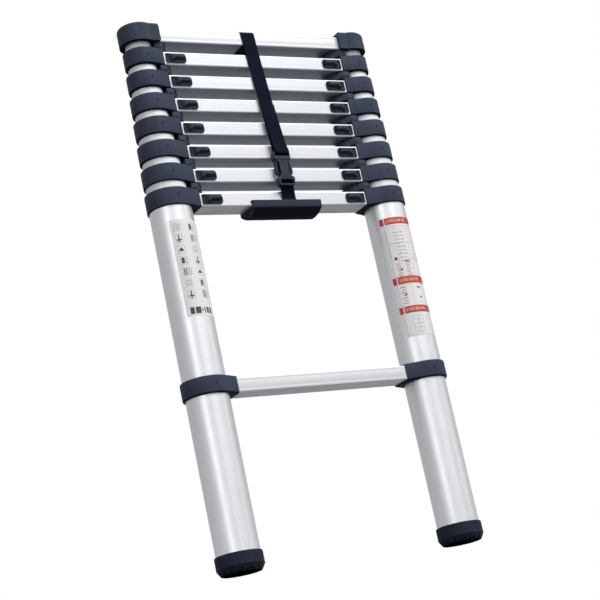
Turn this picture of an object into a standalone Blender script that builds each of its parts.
"""Telescoping aluminium ladder with nine rungs, closed up for storage.

Metres, +Z up. The origin is on the floor, midway between the two stiles.
The ladder's front faces -Y and its rungs run along X.
Section 1 is the wide bottom one. Sections 2 to 8 slide up out of it.
Rung k sits on top of section k - 1, and collar k joins the two.
"""

import math

import bmesh
import bpy
from mathutils import Matrix, Vector

# Layout of the closed ladder
SECTIONS = 8
RUNGS = SECTIONS + 1
STILE_SPACING = 0.3956
RUNG_SPACING = 0.300
CLOSED_PITCH = 0.0403
FIRST_RUNG_Z = 0.267
TRAVEL = RUNG_SPACING - CLOSED_PITCH

# Stile tubes: each section is one size smaller than the one that it slides in
TUBE_RADIUS = 0.0336
TUBE_RADIUS_STEP = 0.0018
TUBE_WALL = 0.0013
TUBE_FACETS = 24
BASE_TUBE_FOOT_Z = 0.006
TUBE_OVERLAP = 0.080

# Rungs: box section, flat and level on top
RUNG_HEIGHT = 0.0228
RUNG_DEPTH = 0.0386
RUNG_WALL = 0.0016
RUNG_CORNER = 0.0020
RUNG_HALF_LENGTH = 0.1528
RUNG_HALF_LENGTH_STEP = 0.0023

# Collars: a moulded ring round the top of a tube, with a neck that holds the rung's end
COLLAR_RADIUS = 0.0363
COLLAR_RADIUS_STEP = 0.0015
COLLAR_BELOW_RUNG = 0.0015
COLLAR_HEIGHT = 0.0290
COLLAR_FLANGE = 0.0035
NECK_HALF_DEPTH = 0.0210
POST_WIDTH = 0.0140
POST_TUBE_CLEARANCE = 0.0025
GUIDE_CLEARANCE = 0.00035
TONGUE_LENGTH = 0.022
TONGUE_HALF_DEPTH = 0.0168
TONGUE_THICKNESS = 0.0030
CLAMP_RADIUS = 0.0376
CLAMP_BELOW_RUNG = 0.0025
CLAMP_HEIGHT = 0.0275
# Plan of the spacer web that stands on a rung's end: reach towards the centre, and depth
WEB_PLAN = ((0.0075, -0.0110), (0.0145, -0.0030), (0.0175, 0.0070), (0.0180, 0.0190))

# Top caps
CAP_RADIUS = 0.0298
CAP_HALF_DEPTH = 0.0268
CAP_BELOW_RUNG = 0.0015
CAP_TOP_Z = 0.8795
CAP_ROOF = 0.0040

# Lock pins and the thumb buttons that draw them back
PIN_RADIUS = 0.0045
PIN_HOLE_RADIUS = 0.0050
PIN_FACETS = 12
PIN_TIP_CLEARANCE = 0.0004
THUMB_FROM_END = 0.0222
THUMB_WIDTH = 0.0250
THUMB_HEIGHT = 0.0120
THUMB_PROUD = 0.0062
STEM_FROM_END = 0.0260
STEM_WIDTH = 0.0090
STEM_HEIGHT = 0.0070
WINDOW_OUTER_FROM_END = 0.0120
WINDOW_INNER_FROM_END = 0.0340
WINDOW_HEIGHT = 0.0100

# Rubber feet
FOOT_RADIUS = 0.0366
SOLE_RADIUS = 0.0310
FOOT_CHAMFER_TOP = 0.0094
FOOT_TOP = 0.0286
FOOT_FACETS = 32

# Carry handle, clipped round the second rung from below
HANDLE_HALF_LENGTH = 0.0600
HANDLE_FLARE = 0.0055
HANDLE_HALF_DEPTH = 0.0240
HANDLE_TOP_ABOVE_RUNG = 0.0085
HANDLE_BOTTOM_BELOW_RUNG = 0.0150
HANDLE_FACE_HEIGHT = 0.0130
HANDLE_BELLY_STEPS = 10
HANDLE_POCKET_HALF = 0.0145
HANDLE_POCKET_ROOM = 0.0026

# Retaining strap and its buckle
STRAP_WIDTH = 0.0250
STRAP_THICKNESS = 0.0016
STRAP_GAP = 0.0004
STRAP_TOP_SHIFT = -0.0060
STRAP_FAN_START = 0.745
STRAP_CORNER = 0.0030
STRAP_LEAVES_RUNG_BELOW = 0.025
BUCKLE_Y = -0.0258
BUCKLE_SHIFT = 0.0035
BUCKLE_HALF_WIDTH = 0.0150
BUCKLE_HALF_DEPTH = 0.0055
ADJUSTER_TOP_Z = 0.6550
ADJUSTER_BOTTOM_Z = 0.6410
PRONG_TIP_Z = 0.6160
PRONG_INNER = 0.0098
SOCKET_WAIST = 0.0082
SOCKET_SHOULDER_Z = 0.6135
SOCKET_BOTTOM_Z = 0.5970

# Working allowances
TOUCH_GAP = 0.0003
JOIN_OVERLAP = 0.0016
CUT_MARGIN = 0.020
LEFT, RIGHT = -1, 1
SIDES = {"left": LEFT, "right": RIGHT}


# ---------------------------------------------------------------- sizes by number

def rung_z(k):
    """Underside of rung k, counted from 1 at the bottom."""
    if k == 1:
        return FIRST_RUNG_Z
    return FIRST_RUNG_Z + RUNG_SPACING + (k - 2) * CLOSED_PITCH


def rung_half_length(k):
    return RUNG_HALF_LENGTH + max(k - 2, 0) * RUNG_HALF_LENGTH_STEP


def rung_end_from_stile(k):
    """Distance from a stile's axis to the near end of rung k."""
    return STILE_SPACING / 2 - rung_half_length(k)


def tube_radius(k):
    return TUBE_RADIUS - (k - 1) * TUBE_RADIUS_STEP


def collar_radius(k):
    return COLLAR_RADIUS - (k - 2) * COLLAR_RADIUS_STEP


def tube_top(k):
    """Top end of the tube of section k, just under the flange of collar k + 1."""
    flange_underside = rung_z(k + 1) - COLLAR_BELOW_RUNG + COLLAR_HEIGHT - COLLAR_FLANGE
    return flange_underside - TOUCH_GAP


def tube_bottom(k):
    if k == 1:
        return BASE_TUBE_FOOT_Z
    return tube_top(k) - (TRAVEL + CLOSED_PITCH + TUBE_OVERLAP)


def pin_z(k):
    return rung_z(k) + RUNG_HEIGHT / 2


# ---------------------------------------------------------------- mesh helpers

def make_object(name, bm):
    bmesh.ops.recalc_face_normals(bm, faces=bm.faces)
    mesh = bpy.data.meshes.new(name)
    bm.to_mesh(mesh)
    bm.free()
    obj = bpy.data.objects.new(name, mesh)
    bpy.context.scene.collection.objects.link(obj)
    return obj


def prism(outline, low, high, axis="Z"):
    """Closed solid: a plane outline of (a, b) points swept along an axis."""
    order = {"X": lambda a, b, c: (c, a, b), "Z": lambda a, b, c: (a, b, c)}[axis]
    bm = bmesh.new()
    ends = [[bm.verts.new(order(a, b, c)) for a, b in outline] for c in (low, high)]
    bm.faces.new(ends[0][::-1])
    bm.faces.new(ends[1])
    count = len(outline)
    for i in range(count):
        j = (i + 1) % count
        bm.faces.new((ends[0][i], ends[0][j], ends[1][j], ends[1][i]))
    return make_object("prism", bm)


def hollow_prism(outer, inner, low, high, axis="Z"):
    """Open-ended tube between two plane outlines with the same number of points."""
    order = {"X": lambda a, b, c: (c, a, b), "Z": lambda a, b, c: (a, b, c)}[axis]
    bm = bmesh.new()
    loops = [
        [bm.verts.new(order(a, b, c)) for a, b in outline]
        for outline, c in ((outer, low), (outer, high), (inner, high), (inner, low))
    ]
    count = len(outer)
    for ring in range(4):
        near, far = loops[ring], loops[(ring + 1) % 4]
        for i in range(count):
            j = (i + 1) % count
            bm.faces.new((near[i], near[j], far[j], far[i]))
    return make_object("hollow_prism", bm)


def lathe(profile, centre, facets):
    """Solid of revolution about a vertical axis; the profile starts and ends on it."""
    bm = bmesh.new()
    rings = []
    for radius, z in profile:
        if radius == 0:
            rings.append([bm.verts.new((centre[0], centre[1], z))])
            continue
        rings.append([
            bm.verts.new((centre[0] + radius * math.cos(a), centre[1] + radius * math.sin(a), z))
            for a in angles(facets)
        ])
    for near, far in zip(rings, rings[1:]):
        for i in range(facets):
            j = (i + 1) % facets
            corners = [near[i % len(near)], near[j % len(near)], far[j % len(far)], far[i % len(far)]]
            bm.faces.new(list(dict.fromkeys(corners)))
    return make_object("lathe", bm)


def box(low, high):
    outline = ((low[0], low[1]), (high[0], low[1]), (high[0], high[1]), (low[0], high[1]))
    return prism(outline, low[2], high[2])


def ribbon(path, width, thickness, shift):
    """Flat strap: a centre line of (y, z) points, given a width along X and a thickness.

    shift(z) moves the strap sideways along its length.
    """
    bm = bmesh.new()
    rows = []
    for i, point in enumerate(path):
        before = Vector(path[max(i - 1, 0)])
        after = Vector(path[min(i + 1, len(path) - 1)])
        along = (after - before).normalized()
        into = (Vector(point) - before).normalized() if i else along
        mitre = thickness / 2 / max(along.dot(into), 0.5)
        normal = Vector((-along.y, along.x)) * mitre
        row = []
        for side_x, side_n in ((-1, -1), (1, -1), (1, 1), (-1, 1)):
            y = point[0] + side_n * normal.x
            z = point[1] + side_n * normal.y
            row.append(bm.verts.new((shift(point[1]) + side_x * width / 2, y, z)))
        rows.append(row)
    bm.faces.new(rows[0])
    bm.faces.new(rows[-1][::-1])
    for near, far in zip(rows, rows[1:]):
        for i in range(4):
            j = (i + 1) % 4
            bm.faces.new((near[i], near[j], far[j], far[i]))
    return make_object("ribbon", bm)


def angles(facets):
    """Evenly spaced angles, with a flat facet facing along X and along Y."""
    return [math.tau * (i + 0.5) / facets for i in range(facets)]


def circle(centre, radius, facets):
    return [
        (centre[0] + radius * math.cos(a), centre[1] + radius * math.sin(a))
        for a in angles(facets)
    ]


def chamfered_rectangle(half_a, half_b, corner, centre=(0, 0)):
    points = []
    for sign_a, sign_b in ((1, 1), (-1, 1), (-1, -1), (1, -1)):
        near_a = (sign_a * half_a, sign_b * (half_b - corner))
        near_b = (sign_a * (half_a - corner), sign_b * half_b)
        points += [near_a, near_b] if sign_a * sign_b > 0 else [near_b, near_a]
    return [(centre[0] + a, centre[1] + b) for a, b in points]


def combine(target, tool, operation):
    """Apply one exact Boolean to the target and discard the tool."""
    modifier = target.modifiers.new("combine", "BOOLEAN")
    modifier.operation = operation
    modifier.solver = "EXACT"
    modifier.object = tool
    graph = bpy.context.evaluated_depsgraph_get()
    result = bpy.data.meshes.new_from_object(target.evaluated_get(graph))
    target.modifiers.clear()
    target.data = result
    bpy.data.objects.remove(tool)


def join(target, *tools):
    for tool in tools:
        combine(target, tool, "UNION")
    return target


def cut(target, *tools):
    for tool in tools:
        combine(target, tool, "DIFFERENCE")
    return target


# ---------------------------------------------------------------- materials and placing

def material(name, colour, roughness, metallic=0.0):
    made = bpy.data.materials.get(name)
    if made is None:
        made = bpy.data.materials.new(name)
        made.use_nodes = True
        shader = made.node_tree.nodes["Principled BSDF"]
        shader.inputs["Base Color"].default_value = (*colour, 1.0)
        shader.inputs["Roughness"].default_value = roughness
        shader.inputs["Metallic"].default_value = metallic
    return made


def tube_aluminium():
    return material("tube_aluminium", (0.80, 0.81, 0.82), 0.32, 1.0)


def rung_aluminium():
    return material("rung_aluminium", (0.86, 0.87, 0.88), 0.28, 1.0)


def collar_plastic():
    return material("collar_plastic", (0.035, 0.040, 0.055), 0.55)


def button_plastic():
    return material("button_plastic", (0.030, 0.035, 0.040), 0.45)


def grip_plastic():
    return material("grip_plastic", (0.025, 0.027, 0.035), 0.60)


def foot_rubber():
    return material("foot_rubber", (0.018, 0.019, 0.022), 0.80)


def strap_webbing():
    return material("strap_webbing", (0.015, 0.017, 0.024), 0.85)


def place(obj, name, parent, origin, surface):
    """Name a piece, put its origin where it belongs and hang it on its section."""
    obj.name = name
    obj.data.name = name
    origin = Vector(origin)
    obj.data.transform(Matrix.Translation(-origin))
    obj.parent = parent
    obj.location = origin - parent.location
    obj.data.materials.clear()
    obj.data.materials.append(surface)
    obj.data.shade_smooth()
    obj.data.set_sharp_from_angle(angle=math.radians(32))
    return obj


def section_frame(k):
    """Empty that carries section k; it rises along Z when the ladder is opened."""
    empty = bpy.data.objects.new(f"section_{k}_frame", None)
    empty.location = (0, 0, tube_top(k))
    bpy.context.scene.collection.objects.link(empty)
    return empty


# ---------------------------------------------------------------- stiles

def pin_hole(side, z, reach):
    """Cutter for a lock pin's hole in the wall of a tube that faces the other stile."""
    stile_x = side * STILE_SPACING / 2
    outline = circle((0, z), PIN_HOLE_RADIUS, PIN_FACETS)
    ends = sorted((stile_x, stile_x - side * reach))
    return prism(outline, ends[0], ends[1], axis="X")


def tube(k, side_name, parent):
    side = SIDES[side_name]
    centre = (side * STILE_SPACING / 2, 0)
    radius = tube_radius(k)
    obj = hollow_prism(
        circle(centre, radius, TUBE_FACETS),
        circle(centre, radius - TUBE_WALL, TUBE_FACETS),
        tube_bottom(k),
        tube_top(k),
    )
    if k < SECTIONS:
        cut(obj, pin_hole(side, pin_z(k + 1), radius + CUT_MARGIN))
    if k > 1:
        cut(obj, pin_hole(side, pin_z(k) - TRAVEL, radius + CUT_MARGIN))
    place(obj, f"tube_{k}_{side_name}", parent, (*centre, tube_bottom(k)), tube_aluminium())


def foot(side_name, parent):
    side = SIDES[side_name]
    centre = (side * STILE_SPACING / 2, 0)
    cup_radius = tube_radius(1) + TOUCH_GAP
    profile = (
        (0, 0),
        (SOLE_RADIUS, 0),
        (FOOT_RADIUS, FOOT_CHAMFER_TOP),
        (FOOT_RADIUS, FOOT_TOP),
        (cup_radius, FOOT_TOP),
        (cup_radius, BASE_TUBE_FOOT_Z - TOUCH_GAP),
        (0, BASE_TUBE_FOOT_Z - TOUCH_GAP),
    )
    obj = lathe(profile, centre, FOOT_FACETS)
    place(obj, f"foot_{side_name}", parent, (*centre, 0), foot_rubber())


def collar_plan(side, radius, reach, half_depth):
    """Plan of a ring about a stile, with a square neck towards the other stile."""
    neck_angle = math.asin(half_depth / radius)
    steps = 20
    points = []
    for i in range(steps + 1):
        a = neck_angle + (math.tau - 2 * neck_angle) * i / steps
        points.append((radius * math.cos(a), radius * math.sin(a)))
    points += [(reach, -half_depth), (reach, half_depth)]
    return [towards_centre(side, u, v) for u, v in points]


def towards_centre(side, u, v):
    """Plan point at u from a stile's axis towards the other stile, and v along Y."""
    return (side * (STILE_SPACING / 2 - u), v)


def spacer_plan(side, reach):
    """Plan of the post between two collars and the web that stands on the rung's end."""
    points = [(reach - POST_WIDTH, -NECK_HALF_DEPTH), (reach, -NECK_HALF_DEPTH)]
    points += [(reach + u, v) for u, v in WEB_PLAN]
    points += [(reach + WEB_PLAN[-1][0], NECK_HALF_DEPTH), (reach - POST_WIDTH, NECK_HALF_DEPTH)]
    return [towards_centre(side, u, v) for u, v in points]


def tongue(side, k, low):
    """One of the two flat tongues that carry the rung's end from inside."""
    reach = rung_end_from_stile(k)
    corners = (
        towards_centre(side, reach - JOIN_OVERLAP, -TONGUE_HALF_DEPTH),
        towards_centre(side, reach + TONGUE_LENGTH, TONGUE_HALF_DEPTH),
    )
    x_low, x_high = sorted((corners[0][0], corners[1][0]))
    return box((x_low, -TONGUE_HALF_DEPTH, low), (x_high, TONGUE_HALF_DEPTH, low + TONGUE_THICKNESS))


def collar(k, side_name, parent):
    """Collar k: grips the top of tube k - 1, guides tube k and holds rung k."""
    side = SIDES[side_name]
    centre = (side * STILE_SPACING / 2, 0)
    reach = rung_end_from_stile(k)
    low = rung_z(k) - COLLAR_BELOW_RUNG
    high = low + COLLAR_HEIGHT
    next_neck = rung_z(k + 1) - COLLAR_BELOW_RUNG - TOUCH_GAP
    obj = prism(collar_plan(side, collar_radius(k), reach, NECK_HALF_DEPTH), low, high)
    spacer = prism(spacer_plan(side, reach), high - JOIN_OVERLAP, next_neck)
    lower_tongue = tongue(side, k, rung_z(k) + RUNG_WALL + TOUCH_GAP)
    upper_tongue = tongue(
        side, k, rung_z(k) + RUNG_HEIGHT - RUNG_WALL - TOUCH_GAP - TONGUE_THICKNESS
    )
    join(obj, spacer, lower_tongue, upper_tongue)
    seat = circle(centre, tube_radius(k - 1) + TOUCH_GAP, TUBE_FACETS)
    guide = circle(centre, tube_radius(k) + GUIDE_CLEARANCE, TUBE_FACETS)
    clearance = circle(centre, tube_radius(k) + POST_TUBE_CLEARANCE, TUBE_FACETS)
    cut(
        obj,
        prism(seat, low - CUT_MARGIN, high - COLLAR_FLANGE),
        prism(guide, high - COLLAR_HEIGHT / 2, high + CUT_MARGIN),
        prism(clearance, high, high + CUT_MARGIN),
        pin_hole(side, pin_z(k), reach + JOIN_OVERLAP),
    )
    place(obj, f"collar_{k}_{side_name}", parent, (*centre, low), collar_plastic())


def top_cap(side_name, parent):
    side = SIDES[side_name]
    centre = (side * STILE_SPACING / 2, 0)
    reach = rung_end_from_stile(RUNGS)
    low = rung_z(RUNGS) - CAP_BELOW_RUNG
    obj = prism(collar_plan(side, CAP_RADIUS, reach, CAP_HALF_DEPTH), low, CAP_TOP_Z)
    socket = circle(centre, tube_radius(SECTIONS) + TOUCH_GAP, TUBE_FACETS)
    cut(obj, prism(socket, low - CUT_MARGIN, CAP_TOP_Z - CAP_ROOF))
    place(obj, f"top_cap_{side_name}", parent, (*centre, low), collar_plastic())


# ---------------------------------------------------------------- rungs

def rung_shell(k, half_length):
    """Box-section rung lying along X."""
    mid = (0, rung_z(k) + RUNG_HEIGHT / 2)
    outer = chamfered_rectangle(RUNG_DEPTH / 2, RUNG_HEIGHT / 2, RUNG_CORNER, mid)
    inner = chamfered_rectangle(
        RUNG_DEPTH / 2 - RUNG_WALL, RUNG_HEIGHT / 2 - RUNG_WALL, RUNG_CORNER / 2, mid
    )
    return hollow_prism(outer, inner, -half_length, half_length, axis="X")


def button_window(side, k):
    """Cutter for the slot in a rung's front wall that a thumb button reaches through."""
    end = side * rung_half_length(k)
    x_low, x_high = sorted((end - side * WINDOW_OUTER_FROM_END, end - side * WINDOW_INNER_FROM_END))
    half = WINDOW_HEIGHT / 2
    return box((x_low, -RUNG_DEPTH, pin_z(k) - half), (x_high, -RUNG_DEPTH / 4, pin_z(k) + half))


def rung(k, parent):
    obj = rung_shell(k, rung_half_length(k) - TOUCH_GAP)
    if k < RUNGS:
        cut(obj, button_window(LEFT, k), button_window(RIGHT, k))
    place(obj, f"rung_{k}", parent, (0, 0, rung_z(k)), rung_aluminium())


def lower_rung(parent):
    """Fixed rung half way up section 1, in one piece with the two clamps that hold it."""
    low = rung_z(1) - CLAMP_BELOW_RUNG
    reach = rung_end_from_stile(1)
    obj = rung_shell(1, rung_half_length(1) + JOIN_OVERLAP)
    for side in SIDES.values():
        centre = (side * STILE_SPACING / 2, 0)
        clamp = prism(
            collar_plan(side, CLAMP_RADIUS, reach, NECK_HALF_DEPTH), low, low + CLAMP_HEIGHT
        )
        join(obj, clamp)
        seat = circle(centre, tube_radius(1) + TOUCH_GAP, TUBE_FACETS)
        bolt_hole = pin_hole(side, pin_z(1), reach + CUT_MARGIN)
        cut(obj, prism(seat, low - CUT_MARGIN, low + CLAMP_HEIGHT + CUT_MARGIN), bolt_hole)
    place(obj, "lower_rung_with_clamps", parent, (0, 0, rung_z(1)), rung_aluminium())


def release_button(k, side_name, parent):
    """Lock pin k with its thumb button, drawn back because tube k fills the stile."""
    side = SIDES[side_name]
    stile_x = side * STILE_SPACING / 2
    z = pin_z(k)
    tip = stile_x - side * (tube_radius(k) + PIN_TIP_CLEARANCE)
    thumb_x = side * (rung_half_length(k) - THUMB_FROM_END)
    stem_x = side * (rung_half_length(k) - STEM_FROM_END)
    tail = stem_x - side * STEM_WIDTH / 2
    ends = sorted((tip, tail))
    obj = prism(circle((0, z), PIN_RADIUS, PIN_FACETS), ends[0], ends[1], axis="X")
    face = -RUNG_DEPTH / 2 - TOUCH_GAP
    stem = box(
        (stem_x - STEM_WIDTH / 2, face - THUMB_PROUD / 2, z - STEM_HEIGHT / 2),
        (stem_x + STEM_WIDTH / 2, 0, z + STEM_HEIGHT / 2),
    )
    thumb = box(
        (thumb_x - THUMB_WIDTH / 2, face - THUMB_PROUD, z - THUMB_HEIGHT / 2),
        (thumb_x + THUMB_WIDTH / 2, face, z + THUMB_HEIGHT / 2),
    )
    join(obj, stem, thumb)
    place(obj, f"release_button_{k}_{side_name}", parent, (thumb_x, 0, z), button_plastic())


# ---------------------------------------------------------------- handle and strap

def handle(parent):
    """Grip clipped round rung 2 from below, a little longer at the bottom."""
    z = rung_z(2)
    top = z + HANDLE_TOP_ABOVE_RUNG
    bottom = z - HANDLE_BOTTOM_BELOW_RUNG
    depth, shoulder = HANDLE_HALF_DEPTH, top - HANDLE_FACE_HEIGHT
    turns = [math.pi * i / HANDLE_BELLY_STEPS for i in range(HANDLE_BELLY_STEPS + 1)]
    belly = [(-depth * math.cos(a), shoulder - (shoulder - bottom) * math.sin(a)) for a in turns]
    outline = [(-depth, top)] + belly + [(depth, top)]
    length = HANDLE_HALF_LENGTH + HANDLE_FLARE
    obj = prism(outline, -length, length, axis="X")
    seat = RUNG_DEPTH / 2 + TOUCH_GAP
    pocket = seat + HANDLE_POCKET_ROOM
    cut(
        obj,
        box((-STILE_SPACING / 2, -seat, z - TOUCH_GAP), (STILE_SPACING / 2, seat, z + RUNG_HEIGHT)),
        box(
            (BUCKLE_SHIFT - HANDLE_POCKET_HALF, -pocket, z - TOUCH_GAP - HANDLE_POCKET_ROOM),
            (BUCKLE_SHIFT + HANDLE_POCKET_HALF, pocket, z + RUNG_HEIGHT),
        ),
    )
    for vertex in obj.data.vertices:
        if abs(vertex.co.x) > HANDLE_HALF_LENGTH:
            rise = (vertex.co.z - bottom) / (top - bottom)
            vertex.co.x -= math.copysign(HANDLE_FLARE * rise, vertex.co.x)
    place(obj, "carry_handle", parent, (0, 0, z), grip_plastic())


def wrap_round_rung(k, start_at_top):
    """Centre line of a strap that goes once round rung k, from its front face."""
    out = STRAP_GAP + STRAP_THICKNESS / 2
    y = RUNG_DEPTH / 2 + out
    low = rung_z(k) - out
    high = rung_z(k) + RUNG_HEIGHT + out
    corner = STRAP_CORNER
    loop = [(-y, high - corner), (-y + corner, high), (y - corner, high), (y, high - corner)]
    loop += [(y, low + corner), (y - corner, low)]
    if start_at_top:
        return loop + [(-y + STRAP_THICKNESS + corner, low)]
    loop = [(-y, low + corner), (-y + corner, low), (y - corner, low), (y, low + corner)]
    loop += [(y, high - corner), (y - corner, high)]
    return loop + [(-y + STRAP_THICKNESS + corner, high)]


def strap_upper(parent):
    """Webbing sewn round the top rung, down to the male half of the buckle, which hangs off centre."""
    rung_top = rung_z(RUNGS) + RUNG_HEIGHT
    front = -RUNG_DEPTH / 2 - STRAP_GAP - STRAP_THICKNESS / 2
    path = [(BUCKLE_Y, ADJUSTER_BOTTOM_Z + JOIN_OVERLAP), (BUCKLE_Y, ADJUSTER_TOP_Z)]
    path += [(front, rung_z(RUNGS) - STRAP_LEAVES_RUNG_BELOW)]
    path += wrap_round_rung(RUNGS, start_at_top=True)

    def shift(z):
        above = max(0.0, z - STRAP_FAN_START) / (rung_top - STRAP_FAN_START)
        below = min(1.0, max(0.0, STRAP_FAN_START - z) / (STRAP_FAN_START - ADJUSTER_TOP_Z))
        return STRAP_TOP_SHIFT * above + BUCKLE_SHIFT * below

    obj = ribbon(path, STRAP_WIDTH, STRAP_THICKNESS, shift)
    adjuster = box(
        (BUCKLE_SHIFT - BUCKLE_HALF_WIDTH, BUCKLE_Y - BUCKLE_HALF_DEPTH, ADJUSTER_BOTTOM_Z),
        (BUCKLE_SHIFT + BUCKLE_HALF_WIDTH, BUCKLE_Y + BUCKLE_HALF_DEPTH, ADJUSTER_TOP_Z),
    )
    half = BUCKLE_HALF_DEPTH / 2
    prongs = []
    for side in SIDES.values():
        x_low, x_high = sorted(BUCKLE_SHIFT + side * w for w in (PRONG_INNER, BUCKLE_HALF_WIDTH))
        low = (x_low, BUCKLE_Y - half, PRONG_TIP_Z)
        prongs.append(box(low, (x_high, BUCKLE_Y + half, ADJUSTER_BOTTOM_Z + JOIN_OVERLAP)))
    guide = box(
        (BUCKLE_SHIFT - PRONG_INNER / 2, BUCKLE_Y - half / 2, PRONG_TIP_Z + JOIN_OVERLAP),
        (BUCKLE_SHIFT + PRONG_INNER / 2, BUCKLE_Y + half / 2, ADJUSTER_BOTTOM_Z + JOIN_OVERLAP),
    )
    join(obj, adjuster, *prongs, guide)
    place(obj, "strap_upper_with_buckle_prongs", parent, (0, BUCKLE_Y, rung_top), strap_webbing())


def strap_lower(parent):
    """Female half of the buckle on a short strap sewn round rung 2."""
    front = -RUNG_DEPTH / 2 - STRAP_GAP - STRAP_THICKNESS / 2
    above_handle = rung_z(2) + HANDLE_TOP_ABOVE_RUNG + 2 * JOIN_OVERLAP
    path = [(BUCKLE_Y, SOCKET_BOTTOM_Z + JOIN_OVERLAP), (BUCKLE_Y, SOCKET_BOTTOM_Z - STRAP_GAP)]
    path += [(front, above_handle)] + wrap_round_rung(2, start_at_top=False)
    obj = ribbon(path, STRAP_WIDTH, STRAP_THICKNESS, lambda z: BUCKLE_SHIFT)
    depth = BUCKLE_HALF_DEPTH
    body = box(
        (BUCKLE_SHIFT - SOCKET_WAIST, BUCKLE_Y - depth, SOCKET_BOTTOM_Z),
        (BUCKLE_SHIFT + SOCKET_WAIST, BUCKLE_Y + depth, ADJUSTER_BOTTOM_Z - TOUCH_GAP),
    )
    shoulder = box(
        (BUCKLE_SHIFT - BUCKLE_HALF_WIDTH, BUCKLE_Y - depth, SOCKET_BOTTOM_Z),
        (BUCKLE_SHIFT + BUCKLE_HALF_WIDTH, BUCKLE_Y + depth, SOCKET_SHOULDER_Z),
    )
    join(obj, body, shoulder)
    slot = box(
        (BUCKLE_SHIFT - PRONG_INNER / 2 - TOUCH_GAP, BUCKLE_Y - depth / 2, PRONG_TIP_Z),
        (BUCKLE_SHIFT + PRONG_INNER / 2 + TOUCH_GAP, BUCKLE_Y + depth / 2, ADJUSTER_TOP_Z),
    )
    cut(obj, slot)
    place(obj, "strap_lower_with_buckle_socket", parent, (0, BUCKLE_Y, SOCKET_BOTTOM_Z), strap_webbing())


# ---------------------------------------------------------------- the ladder

def build():
    for old in list(bpy.data.objects):
        bpy.data.objects.remove(old)
    frames = {k: section_frame(k) for k in range(1, SECTIONS + 1)}
    for k, parent in frames.items():
        for side_name in SIDES:
            tube(k, side_name, parent)
            if k < SECTIONS:
                collar(k + 1, side_name, parent)
                release_button(k + 1, side_name, parent)
        rung(k + 1, parent)
    base, top = frames[1], frames[SECTIONS]
    for side_name in SIDES:
        foot(side_name, base)
        top_cap(side_name, top)
    lower_rung(base)
    handle(base)
    strap_lower(base)
    strap_upper(top)


build()
